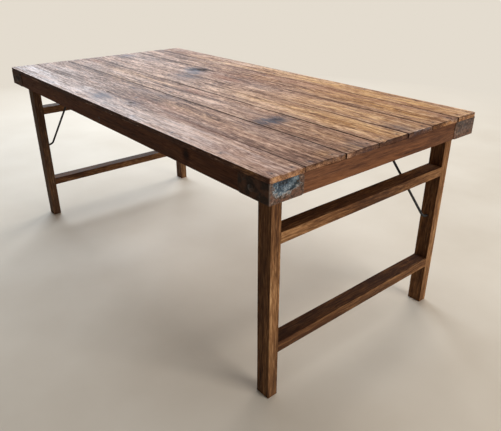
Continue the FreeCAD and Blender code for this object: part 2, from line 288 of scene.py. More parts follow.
# Bleached areas, partly real bleaching and partly a painted sheen, pale and lavender
bleach_and_sheen_areas = (
    (-50, -420, 160, 30, 0.8), (-600, -420, 550, 70, 0.95), (350, -415, 500, 60, 0.75),
    (150, -440, 350, 40, 0.95), (170, 165, 140, 40, 0.35), (600, -240, 300, 45, 0.25),
    (-500, -300, 500, 50, 0.35), (350, -340, 450, 40, 0.35), (-550, -150, 350, 40, 0.25),
    (300, -130, 450, 40, 0.2), (100, 20, 300, 50, 0.15), (-700, 130, 250, 80, 0.2),
    (-285, 135, 70, 30, 0.5), (-110, -392, 80, 32, 0.6))

# Darker areas; the lighter ones are below nothing
shadings = (
    (620, -338, 220, 12, 0.6), (250, -350, 250, 12, 0.5), (0, 100, 220, 80, 0.3),
    (-750, 0, 250, 200, 0.3), (-550, 400, 350, 10, 0.8), (-600, 352, 350, 12, 1),
    (-600, 292, 120, 14, 0.9), (-600, 215, 400, 10, 0.8), (-550, -205, 400, 12, 0.7),
    (-450, -51, 500, 10, 0.9), (-600, -335, 350, 8, 0.7), (-650, -305, 150, 10, 0.6),
    (70, -293, 90, 18, 0.9), (740, 100, 250, 120, -0.1), (370, -120, 180, 90, -0.3),
    (370, 350, 200, 100, -0.3), (-750, 367, 100, 30, 0.9), (-380, 367, 100, 30, -1),
    (-40, 301, 120, 30, 0.5), (520, 301, 350, 30, 0.35), (-330, 234, 120, 30, -0.4),
    (540, 234, 160, 30, -0.4), (760, 234, 70, 30, 0.4), (-770, 115, 110, 50, 0.75),
    (-520, 120, 70, 55, -0.7), (-170, 100, 60, 30, 0.35), (20, 167, 180, 35, 0.75),
    (680, 167, 120, 35, -0.45), (-140, 33, 120, 30, 0.45), (440, 33, 120, 30, -0.55),
    (400, -33, 320, 35, -0.5), (-400, -33, 120, 30, -0.2), (0, -100, 100, 30, 0.8),
    (250, -100, 100, 30, -0.4), (-170, -167, 90, 30, -0.35), (60, -167, 80, 30, -0.25),
    (620, -167, 160, 35, -0.65), (520, -234, 180, 30, -0.25), (-630, -301, 100, 30, 0.15),
    (-340, -301, 130, 30, -0.5), (520, -301, 280, 30, -0.4), (430, -375, 180, 35, -0.5),
    (350, -430, 450, 35, -0.6), (-340, -430, 140, 35, -0.85), (-520, -367, 80, 30, -0.25),
    (30, -367, 100, 30, -0.25), (-650, -167, 150, 30, -0.25), (-630, -70, 100, 50, -0.25),
    (-520, 301, 80, 30, 0.25), (60, 367, 70, 30, 0.2), (885, -190, 40, 100, 0.35),
    (340, 367, 120, 30, -0.25))

# Tone, and stain and gold of the end grain, of each plank from front to back
plank_tones = (0, -0.06, -0.03, 0.02, 0.02, -0.02, 0.04)
end_stains = (0, 0.05, 0.2, 0, 0.2, 0, 0)
end_golds = (0.6, 0.45, 0.25, 0.2, 0.3, 0.8, 0.7)

# How dark the line under the upper edge of each plank's ends is: partly wear and partly a painted
# shade
end_shade_lines = (0.2, 0.7, 0.9, 1, 1, 1, 0.95)

# Tone of each plank's end grain, at even steps from front to back
end_tones = (
    (0, -0.02, -0.08, -0.06, -0.2),
    (-0.12, -0.16, -0.2, -0.16, -0.2),
    (0.2, -0.24, -0.22, -0.26, -0.28),
    (-0.34, -0.32, -0.32, -0.36, -0.38),
    (-0.18, -0.34, -0.36, -0.24, -0.14),
    (-0.34, -0.3, -0.1, -0.02, -0.12),
    (-0.14, -0.08, -0.14, -0.16, -0.2),
)

# Pale flecks of each plank's end grain, at the same steps
end_flecks = (
    (0.1, 0, 0.1, 0.1, 0),
    (0, 0.1, 0.3, 1, 0.7),
    (0.1, 0, 0, 0.1, 0.2),
    (0.1, 0.5, 0.3, 0.1, 0),
    (0.3, 0.9, 0.8, 0.4, 0.1),
    (0, 0.1, 0.2, 0.3, 0.4),
    (0.4, 0.3, 0.4, 0.5, 0.8),
)

# How open and dark each seam is at even steps from left to right, from front to back
seam_wear = (
    (0, 0, 0, 0), (0.75, 0.3, 0.05, 0.7), (0.8, 0.8, 0.95, 1), (0.95, 0.95, 1, 1),
    (0.2, 0.1, 0.3, 1), (0.6, 0.5, 0.4, 0.9), (0.6, 0.6, 0.6, 1), (0, 0, 0, 0))

# How far each plank's left and right ends stand back, in millimetres
end_setbacks = (
    (0.4, 0.0), (1.6, 2.2), (0.6, 1.0), (2.4, 2.0), (1.0, 0.6), (0.2, 1.6), (1.4, 0.3))

# Bleaching and calm of the whole top: places along or across it, and the values there.
# Calm is the share of the contrast that is lost or, below nothing, gained.
# The bleaching is partly real and partly a painted sheen, stronger towards the left and the
# front.
bleach_and_sheen_along = ((-0.9, -0.2, 0.5), (0.45, 0.32, 0.06))
bleach_and_sheen_across = ((-0.45, -0.15, 0.1), (1.15, 0.95, 0.75))
calm_along = ((-0.9, -0.5, 0.1, 0.4), (-0.2, -0.3, -0.3, 0.08))
end_grain_calm = 0.5

# Front face of the first plank, which turns golden near its right end, and the painted highlight
# along the arris above it: shares of the length, and the values there
front_turn = (0.91, 0.97)
front_tones = (-0.1, 0.12)
front_golds = (0, 0.9)
arris_highlight_reaches = ((0, 1), (6 * mm, 3.5 * mm))
arris_highlight_strengths = ((0, 0.6, 0.8, 0.95), (1, 1, 0.8, 0.3))

# Tones of the sides, which take a painted shade in the seams and on the front and back faces, of
# shadings and of the painted highlight on the arris, and reaches of dirt, of the painted shade
# under the end edges and of flecks
plank_side_shade = 0.3
shading_depth = 0.2
arris_highlight_lightness = 0.25
grime_reach = 3.5 * mm
end_shade_reach = 4.6 * mm
end_fleck_reach = 5 * mm
least_end_grain = 0.15
far_distance = 9


def ellipse_distance(points, ellipse):
    """Distance from an ellipse's middle on the top, as a share of its reach that way."""
    x, y, reach_x, reach_y = np.array(ellipse) / 1000
    return np.hypot((points[:, 0] - x) / reach_x, (points[:, 1] - y) / reach_y)


def soft_area(points, ragged, ellipse):
    """1 in the middle of an area of the top, falling to 0 beyond its ragged border."""
    distance = ellipse_distance(points, ellipse) + ragged
    return np.exp(-np.clip(distance, 0, far_distance) ** 2)


def strongest(points, ragged, areas):
    """Strength of the strongest of some areas at each point."""
    share = np.zeros(len(points))
    for *ellipse, strength in areas:
        share = np.maximum(share, strength * soft_area(points, ragged, ellipse))
    return share


def plank_grime_and_shade(points, low, high, row, over_length, end_grain, noise):
    """Dirt in the seams beside a plank, and a dark line under the upper edges of its ends, partly
    wear and partly a painted shade.
    """
    grime_and_shade = np.zeros(len(points))
    for seam, distance in ((row, points[:, 1] - low.y), (row + 1, high.y - points[:, 1])):
        strength = at_even_steps(over_length, seam_wear[seam])
        grime_and_shade = np.maximum(grime_and_shade, strength * np.exp(-np.clip(distance, 0, 1) / grime_reach))
    grime_and_shade *= 0.8 + 0.5 * noise(points, (0.06, 0.05, 0.05))
    below = (high.z - points[:, 2]) / end_shade_reach
    edge_shade = end_shade_lines[row] * (0.95 + 0.4 * noise(points, (0.03, 0.02, 0.03)))
    on_end = end_grain > least_end_grain
    return np.clip(np.maximum(grime_and_shade, on_end * edge_shade * np.exp(-below ** 2)), 0, 1)


def end_flecking(points, low, high, values, across, noise):
    """Pale flecks near the upper edge of a plank's ends."""
    near_end = np.exp(-np.minimum(points[:, 0] - low.x, high.x - points[:, 0]) / end_fleck_reach)
    upper = np.clip((points[:, 2] - low.z) / (high.z - low.z) * 1.6 - 0.5, 0, 1)
    spots = np.clip(2 * noise(points, (0.008, 0.007, 0.005)), 0, 1)
    return at_even_steps(across, values) * (spots * upper * near_end)


def top_marks(points, outward, chips, low, high, number):
    """Attributes of a plank's wear and colour, and of painted light (sheen, shade and a
    highlight), with ragged borders between its areas.
    """
    row = number - 1
    noise = Noise(marks_seed + number)
    ragged = 0.35 * noise(points, (0.09, 0.012, 0.05)) + 0.2 * noise(points, (0.015, 0.006, 0.05))
    over_length = (points[:, 0] - low.x) / (high.x - low.x)
    across = (points[:, 1] - low.y) / (high.y - low.y)
    upward = np.clip(0.6 + 0.6 * outward[:, 2], 0, 1)
    end_grain = np.abs(outward[:, 0])
    side = np.abs(outward[:, 1])
    stained, golden, reddish, bleach_and_sheen = (
        strongest(points, ragged, areas) * upward for areas in (stains, golds, reds, bleach_and_sheen_areas))

    patchy = 0.75 + 0.25 * noise(points, (0.02, 0.015, 0.008))
    stain = np.maximum(stained * (1 - end_grain), end_grain * patchy * end_stains[row])
    gold = np.maximum(
        golden * (1 - end_grain) * (1 - side), end_grain * patchy * end_golds[row])

    pale = np.clip(chips * 2.5, 0, 1) * np.clip(0.3 + noise(points, (0.03, 0.03, 0.03)), 0, 1)
    flecks = end_flecking(points, low, high, end_flecks[row], across, noise)
    # Bleaching, partly a painted sheen: the listed areas and a gradient over the whole top
    general = np.interp(points[:, 0], *bleach_and_sheen_along)
    general *= np.interp(points[:, 1], *bleach_and_sheen_across)
    bleach_and_sheen = (bleach_and_sheen + general * upward) * (1 - 0.4 * np.clip(stained, 0, 1))
    bleach_and_sheen *= (1 - end_grain) * (1 - side) * (0.8 + 0.35 * noise(points, (0.12, 0.012, 0.05)))
    pale = np.max([pale, flecks, bleach_and_sheen], axis=0)

    end_tone = at_even_steps(across, end_tones[row]) + 0.07 * noise(points, (0.02, 0.016, 0.007))
    # The plank sides take a painted shade: darker in the seams and on the front and back faces
    tone = plank_tones[row] * (1 - end_grain) + end_grain * end_tone - plank_side_shade * side
    for *ellipse, strength in shadings:
        depth = shading_depth * strength * upward * (1 - end_grain)
        tone -= depth * soft_area(points, ragged, ellipse)
    if number == 1:
        front = np.clip(-outward[:, 1], 0, 1)
        tone += front * np.interp(over_length, front_turn, front_tones)
        gold = np.maximum(gold, front * np.interp(over_length, front_turn, front_golds))
        # The first plank's front arris gets a painted highlight: pale, and lighter in tone
        from_edge = (points[:, 1] - low.y) / np.interp(over_length, *arris_highlight_reaches)
        arris_highlight = (outward[:, 2] > 0.6) * np.exp(-from_edge ** 2)
        arris_highlight *= np.interp(over_length, *arris_highlight_strengths)
        pale = np.maximum(pale, arris_highlight)
        tone += arris_highlight_lightness * arris_highlight

    grime_and_shade = plank_grime_and_shade(points, low, high, row, over_length, end_grain, noise)
    calm = end_grain_calm * end_grain + (1 - end_grain) * np.interp(points[:, 0], *calm_along)
    # marks holds stain, gold and pale, where pale takes chips, flecks, bleaching with its painted
    # sheen and the painted arris highlight; wear holds the reddish share, the seam dirt with the
    # painted shade under the end edges, and the calm
    return {
        "marks": np.stack([stain, gold, pale], -1),
        "wear": np.stack([reddish * (1 - end_grain), grime_and_shade, calm], -1),
        "tone": tone,
    }


def knot_distance(points):
    """Distance from the nearest knot as a share of its reach."""
    return np.min([ellipse_distance(points, ellipse) + pale for *ellipse, pale in knots], axis=0)


def nail_heads(node):
    """Middle of each nail's head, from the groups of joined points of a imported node."""
    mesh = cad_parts[node].data
    places = np.array([vertex.co for vertex in mesh.vertices])
    keys = np.round(places[:, :2] / nail_head_grid).astype(int)
    heads = {}
    for place, key in zip(places, map(tuple, keys)):
        near = next((k for k in heads if max(abs(k[0] - key[0]), abs(k[1] - key[1])) <= 1), None)
        heads.setdefault(near or key, []).append(place)
    return [np.mean(group, axis=0)[:2] for group in heads.values()]


def set_ends_back(points, along, number, waver):
    """Draw a plank's ends in by their setbacks, along wavering lines."""
    left, right = (setback * mm for setback in end_setbacks[number - 1])
    for end, setback in ((0, left), (1, -right)):
        near = np.clip(1 - np.abs(along - end) * setback_fade, 0, 1)
        points[:, 0] += near * setback * (1 + 0.25 * waver(points, (0.05, 0.03, 0.05)))


def round_corners(points, low, high, number):
    """Round a table corner in plan at both ends of the front or back plank."""
    side_y, inward_y = (low.y, 1) if number == 1 else (high.y, -1)
    for end_x, inward_x in ((low.x, 1), (high.x, -1)):
        inward = np.array([inward_x, inward_y])
        over = top_corner_radius - (points[:, :2] - (end_x, side_y)) * inward
        corner = (over > 0).all(axis=1)
        points[corner, :2] += inward * (over[corner] - rounded(over[corner]))


def sink_nails(points, outward, nails):
    """Press a pit over each nail's head, and return the share of dark stain round them."""
    pit = np.zeros(len(points))
    on_face = outward[:, 2] > 0.9
    for nail in nails:
        distance = np.hypot(points[:, 0] - nail[0], points[:, 1] - nail[1])
        points[:, 2] -= nail_pit_depth * on_face * (distance < nail_pit_radius)
        near = np.clip(1.6 - distance / (2.5 * nail_pit_radius), 0, 1)
        pit = np.maximum(pit, on_face * near)
    return pit


def top_plank(number, material):
    """A plank of the top, numbered from the front."""
    name = "top_plank_%d" % number
    low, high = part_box(name)
    length, width = high.x - low.x, high.y - low.y
    nails = [nail for nail in nail_heads("plank_nails") if low.y < nail[1] < high.y]
    nail_cuts = [
        [nail[axis] - low[axis] + share * nail_pit_radius
         for nail in nails for share in nail_pit_line_shares] for axis in (0, 1)]

    def openness(along, across):
        """How open the nearer seam is, at shares along, and across from the middle."""
        front, back = (at_even_steps(along, seam_wear[seam]) for seam in (number - 1, number))
        return np.where(across < 0, front, back)

    def edge_share(local):
        seam_open = openness(local[:, 0] / length, local[:, 1] / width - 0.5)
        return closed_edge_share + (1 - closed_edge_share) * seam_open

    points, quads, outward, chips = timber(
        low, high, 0, shape_seed + number, plank_wear, (*nail_cuts, ()), edge_share=edge_share)
    along = (points[:, 0] - low.x) / length
    across = (points[:, 1] - low.y) / width - 0.5
    points[:, 2] -= (outward[:, 2] > 0.5) * cupping * (2 * across) ** 2
    waver = Noise(waver_seed + number)
    set_ends_back(points, along, number, waver)
    seam_open = openness(along, across)
    drawn_in = seam_open * edge_waver * (0.5 + 0.5 * waver(points, (0.14, 1, 1)))
    outer = (across < 0) if number == 1 else (across > 0) if number == plank_count else False
    drawn_in -= np.where(outer, 0, seam_closing * (1 - seam_open))
    points[:, 1] -= 2 * across * drawn_in
    if number in (1, plank_count):
        round_corners(points, low, high, number)
    pit = sink_nails(points, outward, nails)

    attributes = top_marks(points, outward, chips, low, high, number)
    attributes["marks"][:, 0] = np.maximum(attributes["marks"][:, 0], pit * nail_stain)
    attributes["grain"] = grain_places(points, low, 0, 1, grain_seed + number)
    attributes["knot"] = knot_distance(points)
    piece = mesh_piece("worn_" + name, points, quads, attributes, material)
    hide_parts(name)
    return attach(piece, "table_top")


# Other timber

# A dark knot in the front of some boards, as its place and reach
board_knots = {
    "side_rail_front": ((0.562, -0.4655, 0.720), 22 * mm),
    "leg_front_left": ((-0.773, -0.423, 0.627), 14 * mm),
}
no_knot = ((0, 0, 9), 1)

# Tone of the sides, a painted shade on the faces that don't face the table's ends: below a
# board's mean tone, and of a leg
board_side_shade = 0.08
leg_side_shade = -0.07


def board(
        node, along, seed, wear, material, body, tones=(0, 0), box=None,
        square_ends=False, stained=0):
    """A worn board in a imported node's box, or in a box of its own."""
    low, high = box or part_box(node)
    points, quads, outward, _ = timber(low, high, along, seed, wear, square_ends=square_ends)
    return finish_board(
        node, (points, quads, outward), (low, high), along, seed, material, body, tones,
        np.mean(tones) - board_side_shade, stained)


def finish_board(
        node, mesh, box, along, seed, material, body, tones, side_shade_tone, stained):
    """A piece from a board's mesh. Its faces towards the table's ends are the more golden, partly
    bleaching and partly painted light; its other faces take a painted shade.

    tones are at even steps along those faces, and the side tone, a painted shade, is that of the
    other faces.
    stained is the least share of the stain."""
    points, quads, outward = mesh
    low, high = box
    across = (along + 1) % 3
    noise = Noise(seed + 500)
    cells = drawn_out(along, 0.02, 0.35)
    end_face = np.abs(outward[:, 0])
    # Gold on the faces towards the table's ends: partly bleaching and partly painted light
    gold = np.clip(0.5 + 0.6 * noise(points, cells), 0, 1) * (0.06 + 0.94 * end_face)
    grey = stained + np.clip(0.35 * noise(points + 1, cells) - 0.05, 0, 1)
    tone = at_even_steps((points[:, along] - low[along]) / (high[along] - low[along]), tones)
    place, reach = board_knots.get(node, no_knot)
    attributes = {
        "grain": grain_places(points, low, along, across, seed + 200),
        "knot": np.linalg.norm(points - place, axis=1) / reach,
        "marks": np.stack([grey, gold, np.zeros(len(points))], -1),
        "wear": np.zeros(points.shape),
        "tone": tone * end_face + side_shade_tone * (1 - end_face),
    }
    piece = mesh_piece("worn_" + node, points, quads, attributes, material)
    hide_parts(node)
    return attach(piece, body)


def leg(depth, side, seed, material, tones, stained):
    """A leg whose square top is bent into a half round about its pivot."""
    node = "leg_%s_%s" % (depth, side)
    low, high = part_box(node)
    half = (high.x - low.x) / 2
    pivot = high.z - half
    points, quads, outward, _ = timber(low, high, 2, seed, leg_wear)
    middle = np.array([low.x + half, pivot])
    above = np.ix_(points[:, 2] > pivot, (0, 2))
    points[above] = middle + rounded(points[above] - middle)
    return finish_board(
        node, (points, quads, outward), (low, high), 2, seed, material,
        side + "_leg_frame", tones, leg_side_shade, stained)


def frame_rail(height, side, seed, material, tones, stained):
    """A rail between its legs, without the tenons that they hide."""
    node = "%s_rail_%s" % (height, side)
    low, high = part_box(node)
    low.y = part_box("leg_front_" + side)[1].y
    high.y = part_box("leg_back_" + side)[0].y
    return board(
        node, 1, seed, frame_rail_wear, material, side + "_leg_frame", tones,
        (low, high), square_ends=True, stained=stained)


# Straps

def strap(depth, side, seed, material, patina):
    """A hammered sheet round a corner of the apron.

    patina holds the strength of the blue patina on the end arm and on the side arm."""
    node = "corner_strap_%s_%s" % (depth, side)
    low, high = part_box(node)
    end_arm = high.y - low.y
    side_arm = high.x - low.x
    height = high.z - low.z
    quarter = math.pi / 2 * strap_bend_radius
    first = end_arm - strap_bend_radius
    total = first + quarter + side_arm - strap_bend_radius
    in_corner = strap_corner_radius * np.linspace(0, 1, strap_corner_lines)
    runs = np.unique(np.concatenate([
        in_corner,
        np.linspace(strap_corner_radius, first, round(first / strap_grid)),
        first + quarter * np.linspace(0, 1, strap_bend_lines),
        np.linspace(first + quarter, total - strap_corner_radius, round(side_arm / strap_grid)),
        total - in_corner]))
    rises = np.linspace(0, 1, round(height / strap_grid) + 1)
    run, rise = (grid.ravel() for grid in np.meshgrid(runs, rises, indexing="ij"))
    short = np.clip(strap_corner_radius - np.minimum(run, total - run), 0, strap_corner_radius)
    trim = strap_corner_radius - np.sqrt(strap_corner_radius ** 2 - short ** 2)
    z = trim + (height - 2 * trim) * rise

    over_bend = np.clip((run - first) / quarter, 0, 1)
    turn = over_bend * math.pi / 2
    before = np.minimum(run - first, 0)
    after = np.maximum(run - first - quarter, 0)
    nothing = np.zeros(len(run))
    normal = np.stack([np.cos(turn), np.sin(turn), nothing], -1)
    centre = np.stack([-strap_bend_radius - after, -strap_bend_radius + before, z], -1)
    noise = Noise(seed)
    places = np.stack([run, z, nothing], -1)
    hammer = hammer_depth * noise(places, (0.014, 0.014, 1))
    hammer += fine_hammer_depth * noise(places, (0.006, 0.006, 1))
    outer = centre + normal * (strap_bend_radius - strap_inset + hammer)[:, None]
    inner = centre + normal * (strap_bend_radius - strap_thickness + hammer)[:, None]
    sign_x = 1 if side == "right" else -1
    sign_y = 1 if depth == "back" else -1
    corner = np.array([high.x if sign_x > 0 else low.x, high.y if sign_y > 0 else low.y, low.z])
    points = corner + np.concatenate([outer, inner]) * np.array([sign_x, sign_y, 1])
    quads = sheet_quads(len(runs), len(rises))
    if sign_x * sign_y < 0:
        quads = quads[:, ::-1]

    on_end = run < first
    to_bend = np.where(on_end, first - run, run - first - quarter)
    arm_length = np.where(on_end, first, total - first - quarter)
    over_arm = np.clip(to_bend / arm_length, 0, 1)
    patch_along, patch_up = (
        (np.abs(share - middle) / reach) ** 3
        for share, middle, reach in zip((over_arm, rise), patina_centre, patina_reach))
    patch = (patch_along + patch_up) ** (1 / 3)
    bare = np.exp(-((run - first - quarter / 2) / (0.5 * quarter)) ** 2)
    bare *= 1 if depth == "front" else back_bend_bareness
    one_side = {
        "sheet": places + seed,
        "marks": np.stack([patch, 1 - rise, bare], -1),
        # The arm's second value, over the bend, marks the side arm, which takes a painted shade
        "arm": np.stack([np.where(on_end, *patina), over_bend, over_arm], -1),
    }
    attributes = {key: np.tile(values, (2, 1)) for key, values in one_side.items()}
    piece = mesh_piece("hammered_" + node, points, quads, attributes, material)
    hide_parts(node)
    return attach(piece, "table_top")


def sheet_quads(rows, columns):
    """Quads of a closed sheet between a grid of outer points and the inner points after it."""
    count = rows * columns
    index = np.arange(count).reshape(rows, columns)
    outer = np.stack([index[:-1, :-1], index[:-1, 1:], index[1:, 1:], index[1:, :-1]], -1)
    outer = outer.reshape(-1, 4)
    rim = np.concatenate([index[0, :-1], index[:-1, -1], index[-1, :0:-1], index[:0:-1, 0]])
    following = np.roll(rim, -1)
    sides = np.stack([rim, rim + count, following + count, following], -1)
    return np.concatenate([outer[:, ::-1], outer + count, sides[:, ::-1]])


# Materials

class Tree:
    """The nodes of a material or world, with short calls for the kinds used here."""

    def __init__(self, owner, shader="Principled BSDF"):
        owner.use_nodes = True
        self.owner = owner
        self.nodes = owner.node_tree.nodes
        self.links = owner.node_tree.links
        self.shader = self.nodes[shader]

    def feed(self, socket, value):
        if isinstance(value, bpy.types.NodeSocket):
            self.links.new(value, socket)
        elif value is not None:
            socket.default_value = value

    def surface(self, base, roughness, metallic=None, gloss=None):
        """Feed the shader's main inputs. What isn't given stays as it is."""
        inputs = self.shader.inputs
        self.feed(inputs["Base Color"], base)
        self.feed(inputs["Roughness"], roughness)
        self.feed(inputs["Metallic"], metallic)
        self.feed(inputs["Specular IOR Level"], gloss)

    def node(self, kind, inputs=(), output=0, **settings):
        """A new node's output. Its inputs are in their own order, or by name or place."""
        node = self.nodes.new("ShaderNode" + kind)
        for key, value in settings.items():
            setattr(node, key, value)
        for place, value in inputs.items() if isinstance(inputs, dict) else enumerate(inputs):
            self.feed(node.inputs[place], value)
        return node.outputs[output]

    def attribute(self, name, number=False):
        return self.node("Attribute", output=2 if number else 1, attribute_name=name)

    def parts(self, vector):
        node = self.nodes.new("ShaderNodeSeparateXYZ")
        self.feed(node.inputs[0], vector)
        return node.outputs

    def math(self, operation, first, second=None, third=None, clamp=False):
        return self.node("Math", (first, second, third), operation=operation, use_clamp=clamp)

    def times(self, first, second, clamp=False):
        return self.math("MULTIPLY", first, second, clamp=clamp)

    def vector(self, operation, first, second=None):
        output = 1 if operation == "LENGTH" else 0
        return self.node("VectorMath", (first, second), output, operation=operation)

    def noise(self, place, scale=None, detail=2, roughness=0.5, distortion=0):
        """Noise from 0 to 1, with so many cells to the metre in X, Y and Z."""
        if scale:
            place = self.vector("MULTIPLY", place, scale)
        return self.node("TexNoise", {
            "Vector": place, "Scale": 1, "Detail": detail, "Roughness": roughness,
            "Distortion": distortion})

    def stretch(self, value, low, high):
        """Value from low to high spread over 0 to 1 and held there."""
        return self.node("MapRange", {"Value": value, "From Min": low, "From Max": high})

    def ramp(self, value, stops):
        node = self.nodes.new("ShaderNodeValToRGB")
        self.feed(node.inputs[0], value)
        elements = node.color_ramp.elements
        for place, (position, shade) in enumerate(stops):
            element = elements[place] if place < 2 else elements.new(position)
            element.position = position
            element.color = shade
        return node.outputs[0]

    def over(self, base, shade, share, most=None):
        """A shade over a base, by a share, or by so much of that share."""
        if most is not None:
            share = self.times(share, most)
        return self.node("Mix", {0: share, 6: base, 7: shade}, 2, data_type="RGBA")

    def bump(self, height, distance):
        normal = self.node("Bump", {"Strength": 1, "Distance": distance, "Height": height})
        self.feed(self.shader.inputs["Normal"], normal)


# Growth of the timber: from the pith to a board's corner, rings in a metre, how many a
# knot pushes aside, and the base of the power that it fades by
pith_shift = (0, -0.06, 0.045)
rings_per_metre = 260
knot_swirl = 7
fading_base = 2.718

# Colours that all the timber shares
reddish_colour = rgb(166, 108, 80)
crack_colour = rgb(46, 27, 18)
# Colour of the seam dirt, and of the painted shade under the upper edges of the plank ends
grime_and_shade_colour = rgb(40, 24, 17)
heart_colour = rgb(34, 27, 28)
# Bleached wood, partly a painted sheen: lavender-white shades, and pale blue where a stain lies
# under it, partly a painted highlight
bleached_stain_and_sheen = rgb(168, 180, 202)
bleach_and_sheen_shades = (
    (0.2, rgb(122, 104, 98)), (0.5, rgb(188, 179, 181)), (0.8, rgb(236, 232, 240)))


def wood(name, shades, gold, stain, fleck, weights, length=1.0, rough=(0.55, 0.85), gloss=0.12):
    """Old timber: broad tones, growth rings, streaks, fissures and flecks, with stains and gold.

    weights are those of the broad tones, bands, patches, streaks, specks, rings, fibres and
    flecks. length stretches what the pattern holds along the grain. rough is the roughness
    of dark and of light streaks, and gloss the specular level."""
    tree = Tree(bpy.data.materials.new(name))
    grain = tree.vector("MULTIPLY", tree.attribute("grain"), (1 / length, 1, 1))
    knot = tree.attribute("knot", number=True)
    stained, golden, pale_and_sheen = tree.parts(tree.attribute("marks"))
    reddened, grime_and_shade, calm = tree.parts(tree.attribute("wear"))

    wander = tree.noise(grain, (3, 12, 12), detail=3)
    shift = tree.times(tree.math("SUBTRACT", wander, 0.5), 0.04)
    bent = tree.vector("ADD", grain, tree.node("CombineXYZ", (0, shift, shift)))

    def pattern(along, across, detail=3, roughness=0.6):
        return tree.noise(bent, (along, across, across), detail, roughness)

    broad = pattern(4.5, 22)
    bands = pattern(2.2, 75)
    patches = pattern(7, 62)
    streaks = pattern(15, 170, roughness=0.7)
    specks = pattern(38, 280, 2)
    fibres = pattern(30, 1100, 2)
    fissures = pattern(17, 300, 2)
    flecks = pattern(20, 210, 2)
    hue = pattern(2.2, 19)

    beside_pith = tree.vector("MULTIPLY", tree.vector("ADD", bent, pith_shift), (0, 1, 1))
    from_pith = tree.vector("LENGTH", beside_pith)
    near_knot = tree.math("POWER", fading_base, tree.times(tree.times(knot, knot), -0.6))
    swirl = tree.times(near_knot, knot_swirl)
    ring_place = tree.math("MULTIPLY_ADD", from_pith, rings_per_metre, swirl)
    along = tree.times(tree.parts(bent)[0], 4.5)
    rings = tree.noise(tree.node("CombineXYZ", (along, ring_place, 0)), detail=3, roughness=0.6)

    varied = 0.0
    for part, weight in zip((broad, bands, patches, streaks, specks, rings, fibres), weights):
        varied = tree.math("MULTIPLY_ADD", tree.math("SUBTRACT", part, 0.5), weight, varied)
    contrast = tree.math("SUBTRACT", tree.math("MULTIPLY_ADD", near_knot, 1.5, 1.0), calm)
    varied = tree.times(varied, contrast)
    tone = tree.math("ADD", tree.math("ADD", tree.attribute("tone", number=True), 0.5), varied)
    base = tree.ramp(tone, shades)
    base = tree.over(base, stain, tree.stretch(hue, 0.52, 0.68), 0.15)
    base = tree.over(base, reddish_colour, reddened, 0.5)

    warm = tree.times(golden, tree.stretch(patches, 0.25, 0.55))
    base = tree.over(base, tree.ramp(tone, gold), warm, 0.95)
    blot = tree.times(stained, tree.stretch(streaks, 0.28, 0.56), clamp=True)
    base = tree.over(base, stain, blot, 0.9)
    light = tree.times(tree.stretch(flecks, 0.6, 0.7), weights[7])
    light = tree.times(light, tree.stretch(tone, 0.28, 0.48))
    base = tree.over(base, fleck, light)
    crack = tree.stretch(fissures, 0.39, 0.31)
    base = tree.over(base, crack_colour, crack, 1.2 * weights[7])
    # Seam dirt, and a painted shade under the upper edges of the plank ends
    base = tree.over(base, grime_and_shade_colour, grime_and_shade, 0.85)
    # Bleaching, partly a painted sheen, lavender-white and pale blue over stains
    still_stained = tree.times(stained, 0.9, clamp=True)
    bleach_and_sheen = tree.over(tree.ramp(tone, bleach_and_sheen_shades), bleached_stain_and_sheen, still_stained)
    base = tree.over(base, bleach_and_sheen, pale_and_sheen, 0.75)
    streaky = tree.math("MULTIPLY_ADD", tree.stretch(streaks, 0.4, 0.6), 0.3, 0.65)
    heart = tree.times(tree.stretch(near_knot, 0.4, 0.9), streaky)
    base = tree.over(base, heart_colour, heart)

    roughness = tree.math("MULTIPLY_ADD", streaks, rough[1] - rough[0], rough[0])
    roughness = tree.math("MULTIPLY_ADD", crack, 0.2, roughness)
    roughness = tree.math("MULTIPLY_ADD", heart, 0.4, roughness, clamp=True)
    tree.surface(base, roughness, gloss=gloss)
    relief = tree.math("MULTIPLY_ADD", fibres, 0.25, tree.times(rings, 0.3))
    relief = tree.math("MULTIPLY_ADD", streaks, 0.6, relief)
    relief = tree.math("MULTIPLY_ADD", crack, -0.5, relief)
    tree.bump(relief, 0.7 * mm)
    return tree.owner


